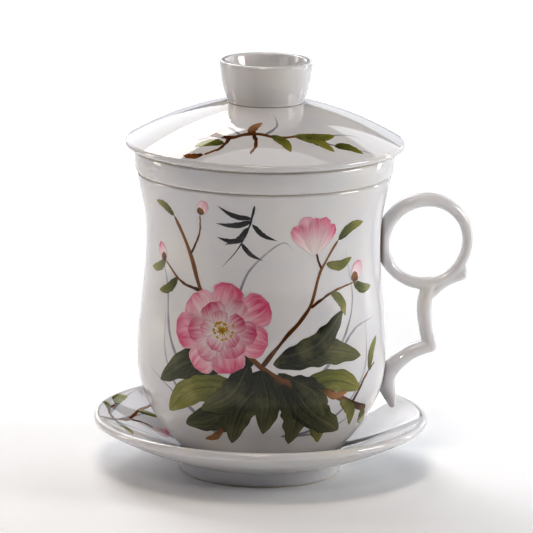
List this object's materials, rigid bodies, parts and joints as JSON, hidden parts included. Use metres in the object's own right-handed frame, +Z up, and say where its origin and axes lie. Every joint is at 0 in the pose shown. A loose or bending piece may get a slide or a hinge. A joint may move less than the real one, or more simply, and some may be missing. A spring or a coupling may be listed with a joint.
{
  "type": "lidded tea mug",
  "caption": "White glazed porcelain tea mug with a waisted body, ring handle, lift-out infuser with a strainer basket, domed lid with a cup-shaped knob, and a footed saucer.",
  "frame": {"origin": "centre of the saucer's foot ring, on the surface that the set stands on", "axes": "+Z up along the axis that every turned piece shares, +X towards the mug's handle, +Y to the left of the handle seen from above"},
  "size_m": [0.1357, 0.118, 0.147],
  "materials": {
    "saucer": "glossy clear glaze on white porcelain",
    "mug": "glossy clear glaze on white porcelain",
    "handle": "glossy clear glaze on white porcelain",
    "infuser": "glossy clear glaze on white porcelain",
    "lid": "glossy clear glaze on white porcelain",
    "knob": "glossy clear glaze on white porcelain"
  },
  "bodies": {
    "saucer": {"saucer": "saucer"},
    "mug": {"mug_body": "mug", "mug_handle": "handle"},
    "infuser": {"infuser": "infuser"},
    "lid": {"lid_shell": "lid", "lid_knob": "knob"}
  },
  "joints": [
    {"name": "mug_lift", "type": "slide", "parent": "saucer", "child": "mug", "axis": [0, 0, 1], "range_m": [0, 0.04]},
    {"name": "infuser_lift", "type": "slide", "parent": "mug", "child": "infuser", "axis": [0, 0, 1], "range_m": [0, 0.09]},
    {"name": "lid_lift", "type": "slide", "parent": "infuser", "child": "lid", "axis": [0, 0, 1], "range_m": [0, 0.045]}
  ]
}
